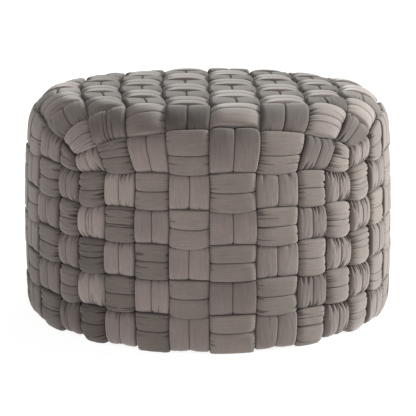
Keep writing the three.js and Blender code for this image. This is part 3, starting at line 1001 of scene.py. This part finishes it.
def add_layer(mesh, name, kind, field, values):
    """Keep values for the points of a mesh, for its material to read."""
    layer = mesh.attributes.new(name, kind, "POINT")
    layer.data.foreach_set(field, values.astype(np.float32).ravel())


def band_mesh(name, cells, closed):
    points = band_points(cells, closed)
    mesh = bpy.data.meshes.new(name)
    faces = band_faces(*points.shape[:2], closed)
    mesh.from_pydata(points.reshape(-1, 3).tolist(), [], faces)
    add_layer(mesh, "place", "FLOAT2", "vector", places_on_band(points))
    # The lightness of each point, with its painted sheen, light and shade.
    add_layer(mesh, "tone_and_painted_light", "FLOAT", "value", along_band(cells, cell_tone_and_painted_light, closed))
    add_layer(mesh, "crease", "FLOAT_VECTOR", "vector", along_band(cells, cell_creases, closed))
    mesh.shade_smooth()
    mesh.update()
    obj = bpy.data.objects.new(name, mesh)
    bpy.context.scene.collection.objects.link(obj)
    return obj


def upright_is_over(column, row):
    return (column + row) % 2 == 0


def front_back_is_over(column, row):
    return (column + row) % 2 == 1


def upright_cells(up_face, up_column, over_top, down_face, down_column):
    """The cells of a band that goes up one face, over the top and down the opposite face."""
    up = [
        Cell(up_face, up_column, row, "b", -1, 1, upright_is_over(up_column, row))
        for row in reversed(range(HOOPS))
    ]
    down = [
        Cell(down_face, down_column, row, "b", 1, -1, upright_is_over(down_column, row))
        for row in range(HOOPS)
    ]
    return up + over_top + down


def front_back_band(column):
    over_top = [
        Cell(TOP, column, row, "b", 1, 1, front_back_is_over(column, row))
        for row in range(BANDS_PER_SIDE)
    ]
    return upright_cells(FRONT, column, over_top, BACK, BANDS_PER_SIDE - 1 - column)


def left_right_band(row):
    over_top = [
        Cell(TOP, column, row, "a", 1, -1, not front_back_is_over(column, row))
        for column in range(BANDS_PER_SIDE)
    ]
    return upright_cells(LEFT, BANDS_PER_SIDE - 1 - row, over_top, RIGHT, row)


def hoop_cells(row):
    return [
        Cell(face, column, row, "a", 1, 1, not upright_is_over(column, row))
        for face in (FRONT, RIGHT, BACK, LEFT)
        for column in range(BANDS_PER_SIDE)
    ]


class Nodes:
    """Short ways to add and join the nodes of one material."""

    def __init__(self, name):
        self.material = bpy.data.materials.new(name)
        self.material.use_nodes = True
        self.tree = self.material.node_tree
        self.shader = self.tree.nodes["Principled BSDF"]

    def add(self, kind, **settings):
        node = self.tree.nodes.new(kind)
        for key, value in settings.items():
            setattr(node, key, value)
        return node

    def give(self, socket, content):
        if isinstance(content, bpy.types.NodeSocket):
            self.tree.links.new(content, socket)
        else:
            socket.default_value = content

    def attribute(self, name, output):
        return self.add("ShaderNodeAttribute", attribute_name=name).outputs[output]

    def work(self, operation, *operands):
        node = self.add("ShaderNodeMath", operation=operation)
        for index, operand in enumerate(operands):
            self.give(node.inputs[index], operand)
        return node.outputs[0]

    def noise(self, vector, scale, detail=3.0):
        node = self.add("ShaderNodeTexNoise")
        self.give(node.inputs["Vector"], vector)
        node.inputs["Scale"].default_value = scale
        node.inputs["Detail"].default_value = detail
        return node.outputs["Fac"]

    def stretch(self, vector, scale):
        node = self.add("ShaderNodeVectorMath", operation="MULTIPLY")
        self.give(node.inputs[0], vector)
        node.inputs[1].default_value = scale
        return node.outputs["Vector"]

    def between(self, value, low, high):
        """A value from 0 to 1, spread from low to high."""
        return self.work("MULTIPLY_ADD", value, high - low, low)

    def step(self, value, start, end, low, high):
        """A smooth step from low to high, while the value goes from start to end."""
        node = self.add("ShaderNodeMapRange", interpolation_type="SMOOTHSTEP")
        self.give(node.inputs["Value"], value)
        node.inputs["From Min"].default_value = start
        node.inputs["From Max"].default_value = end
        node.inputs["To Min"].default_value = low
        node.inputs["To Max"].default_value = high
        return node.outputs["Result"]

    def second(self, vector):
        """The second of the three numbers of a vector."""
        node = self.add("ShaderNodeSeparateXYZ")
        self.give(node.inputs[0], vector)
        return node.outputs["Y"]

    def paint(self, colour, light):
        """Give the surface this colour, made lighter or darker by the light."""
        shade = self.add("ShaderNodeHueSaturation")
        self.give(shade.inputs["Value"], light)
        shade.inputs["Color"].default_value = (*colour, 1)
        self.give(self.shader.inputs["Base Color"], shade.outputs["Color"])

    def emboss(self, height, strength, distance):
        """Give the surface a fine relief."""
        bump = self.add("ShaderNodeBump")
        self.give(bump.inputs["Height"], height)
        bump.inputs["Strength"].default_value = strength
        bump.inputs["Distance"].default_value = distance
        self.give(self.shader.inputs["Normal"], bump.outputs["Normal"])


def velvet(name, colour, sheen_tint):
    """Short-piled velvet, with streaks that follow each band, and creases with painted shade and
    relief.
    """
    nodes = Nodes(name)
    place = nodes.attribute("place", "Vector")
    space = nodes.add("ShaderNodeTexCoord").outputs["Object"]
    streak = nodes.noise(nodes.stretch(place, STREAK_SCALE), 1.0)
    mottle = nodes.noise(space, MOTTLE_SCALE)
    pile = nodes.noise(space, PILE_SCALE)
    # Painted shade along the groove of the seam.
    from_seam = nodes.work("ABSOLUTE", nodes.second(place))
    seam = nodes.step(from_seam, *SEAM_LINE_WIDTHS, SEAM_PAINTED_SHADE, 1.0)
    # The lightness of each point, with its painted sheen, light and shade.
    tone_and_painted_light = nodes.attribute("tone_and_painted_light", "Fac")
    light = nodes.work("MULTIPLY", tone_and_painted_light, seam)
    light = nodes.work("MULTIPLY", light, nodes.between(streak, *STREAK_SPREAD))
    light = nodes.work("MULTIPLY", light, nodes.between(mottle, *MOTTLE_SPREAD))
    light = nodes.work("MULTIPLY", light, nodes.between(pile, *PILE_SPREAD))
    # Painted shade in the creases, which the bump also sinks.
    crease_place = nodes.attribute("crease", "Vector")
    crease_scale = (CREASE_COUNT, CREASE_SLANT, 1)
    ridges = nodes.noise(nodes.stretch(crease_place, crease_scale), 1.0, detail=0.0)
    nearness = nodes.work("MULTIPLY_ADD", nodes.second(crease_place), -CREASE_TAPER, ridges)
    clear_from = CREASE_LEVEL + CREASE_SOFTNESS
    crease_painted_shade = nodes.step(nearness, CREASE_LEVEL, clear_from, 0.0, CREASE_PAINTED_SHADE)
    light = nodes.work("MULTIPLY", light, nodes.work("SUBTRACT", 1.0, crease_painted_shade))
    nodes.paint(colour, light)
    nodes.give(nodes.shader.inputs["Roughness"], nodes.between(mottle, *VELVET_ROUGHNESS))
    nodes.shader.inputs["Specular IOR Level"].default_value = 0.2
    nodes.shader.inputs["Specular Tint"].default_value = (1.0, 0.88, 0.85, 1)
    nodes.give(nodes.shader.inputs["Sheen Weight"], nodes.work("MULTIPLY", tone_and_painted_light, SHEEN_SHARE))
    nodes.shader.inputs["Sheen Roughness"].default_value = 0.5
    nodes.shader.inputs["Sheen Tint"].default_value = (*sheen_tint, 1)
    height = nodes.work("MULTIPLY_ADD", pile, PILE_RELIEF, streak)
    height = nodes.work("MULTIPLY_ADD", crease_painted_shade, CREASE_RELIEF, height)
    nodes.emboss(height, strength=0.5, distance=0.0006)
    return nodes.material


def base_cloth(name, colour):
    """Plain thin woven cloth, for the underside."""
    nodes = Nodes(name)
    space = nodes.add("ShaderNodeTexCoord").outputs["Object"]
    weave = []
    for direction in ("X", "Y"):
        wave = nodes.add("ShaderNodeTexWave", bands_direction=direction)
        nodes.give(wave.inputs["Vector"], space)
        wave.inputs["Scale"].default_value = THREAD_SCALE
        weave.append(wave.outputs["Fac"])
    threads = nodes.work("MULTIPLY", *weave)
    mottle = nodes.noise(space, CLOTH_MOTTLE_SCALE)
    thread_light = nodes.between(threads, *THREAD_SPREAD)
    mottle_light = nodes.between(mottle, *CLOTH_MOTTLE_SPREAD)
    nodes.paint(colour, nodes.work("MULTIPLY", thread_light, mottle_light))
    nodes.give(nodes.shader.inputs["Roughness"], nodes.between(mottle, *CLOTH_ROUGHNESS))
    nodes.emboss(threads, strength=0.3, distance=0.0005)
    return nodes.material


def add_band(name, cells, closed, material):
    obj = band_mesh(f"velvet_{name}", cells, closed)
    obj.data.materials.append(material)
    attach(obj, "root")
    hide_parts(name)


upright_velvet = velvet("upright_velvet", (0.194, 0.159, 0.144), (0.95, 0.90, 0.87))
hoop_velvet = velvet("hoop_velvet", (0.194, 0.160, 0.143), (0.95, 0.90, 0.86))
body_cloth = base_cloth("base_cloth", (0.13, 0.12, 0.11))
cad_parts["filled_body"].material_slots[0].material = body_cloth
for index in range(BANDS_PER_SIDE):
    for kind, cells_of in (("front_back", front_back_band), ("left_right", left_right_band)):
        name = f"{kind}_band_{index + 1}"
        add_band(name, cells_of(index), False, upright_velvet)
for row in range(HOOPS):
    add_band(f"hoop_{row + 1}", hoop_cells(row), True, hoop_velvet)

# Camera, from a fit to the grid of the weave in the photograph.
CAMERA_DISTANCE = 2.787
CAMERA_HEIGHT = 0.815
CAMERA_PITCH_DEG = 12.53
FOCAL_PIXELS = 1371
IMAGE_PIXELS = 416
SENSOR = 36.0
camera_data = bpy.data.cameras.new("camera")
camera_data.sensor_width = SENSOR
camera_data.lens = FOCAL_PIXELS / IMAGE_PIXELS * SENSOR
camera = bpy.data.objects.new("camera", camera_data)
camera.location = (0, -CAMERA_DISTANCE, CAMERA_HEIGHT)
camera.rotation_euler = (math.radians(90 - CAMERA_PITCH_DEG), 0, 0)
bpy.context.scene.collection.objects.link(camera)
bpy.context.scene.camera = camera

# Floor and light.
FLOOR_SIZE = 300
FLOOR_DEPTH = 0.001
FLOOR_COLOUR = (0.26, 0.26, 0.26)
FLOOR_GLOW = 0.89
WORLD_COLOUR = (1, 0.985, 0.97)
WORLD_STRENGTH = 0.28
LIGHTS_AIM = (0, 0, 0.2)
bpy.ops.mesh.primitive_plane_add(size=FLOOR_SIZE, location=(0, 0, -FLOOR_DEPTH))
floor = bpy.context.object
floor.name = "floor"
floor_material = bpy.data.materials.new("floor")
floor_material.use_nodes = True
floor_shader = floor_material.node_tree.nodes["Principled BSDF"]
floor_shader.inputs["Base Color"].default_value = (*FLOOR_COLOUR, 1)
floor_shader.inputs["Roughness"].default_value = 0.9
floor_shader.inputs["Emission Color"].default_value = (1, 1, 1, 1)
floor_shader.inputs["Emission Strength"].default_value = FLOOR_GLOW
floor.data.materials.append(floor_material)

world = bpy.data.worlds.new("studio")
world.use_nodes = True
background = world.node_tree.nodes["Background"]
background.inputs["Color"].default_value = (*WORLD_COLOUR, 1)
background.inputs["Strength"].default_value = WORLD_STRENGTH
bpy.context.scene.world = world
bpy.context.scene.view_settings.view_transform = "Standard"


def area_light(name, place, size, power, colour):
    data = bpy.data.lights.new(name, "AREA")
    data.color = colour
    data.size = size
    data.energy = power
    light = bpy.data.objects.new(name, data)
    light.location = place
    direction = Vector(LIGHTS_AIM) - Vector(place)
    light.rotation_euler = direction.to_track_quat("-Z", "Y").to_euler()
    bpy.context.scene.collection.objects.link(light)


def sun_light(name, place, angle, strength, colour):
    """A sun that shines from this place towards the middle. Its angle makes shadows softer."""
    data = bpy.data.lights.new(name, "SUN")
    data.color = colour
    data.angle = math.radians(angle)
    data.energy = strength
    light = bpy.data.objects.new(name, data)
    light.rotation_euler = (-Vector(place)).to_track_quat("-Z", "Y").to_euler()
    bpy.context.scene.collection.objects.link(light)


sun_light("key", place=(3.0, 0.6, 1.2), angle=18, strength=5.9, colour=(0.95, 1.0, 0.985))
area_light("fill", place=(-1.6, -3.0, 2.2), size=2.0, power=36, colour=(1.0, 1.0, 1.0))
area_light("back", place=(0.6, 1.8, 2.6), size=1.6, power=34, colour=(0.87, 1.0, 0.98))
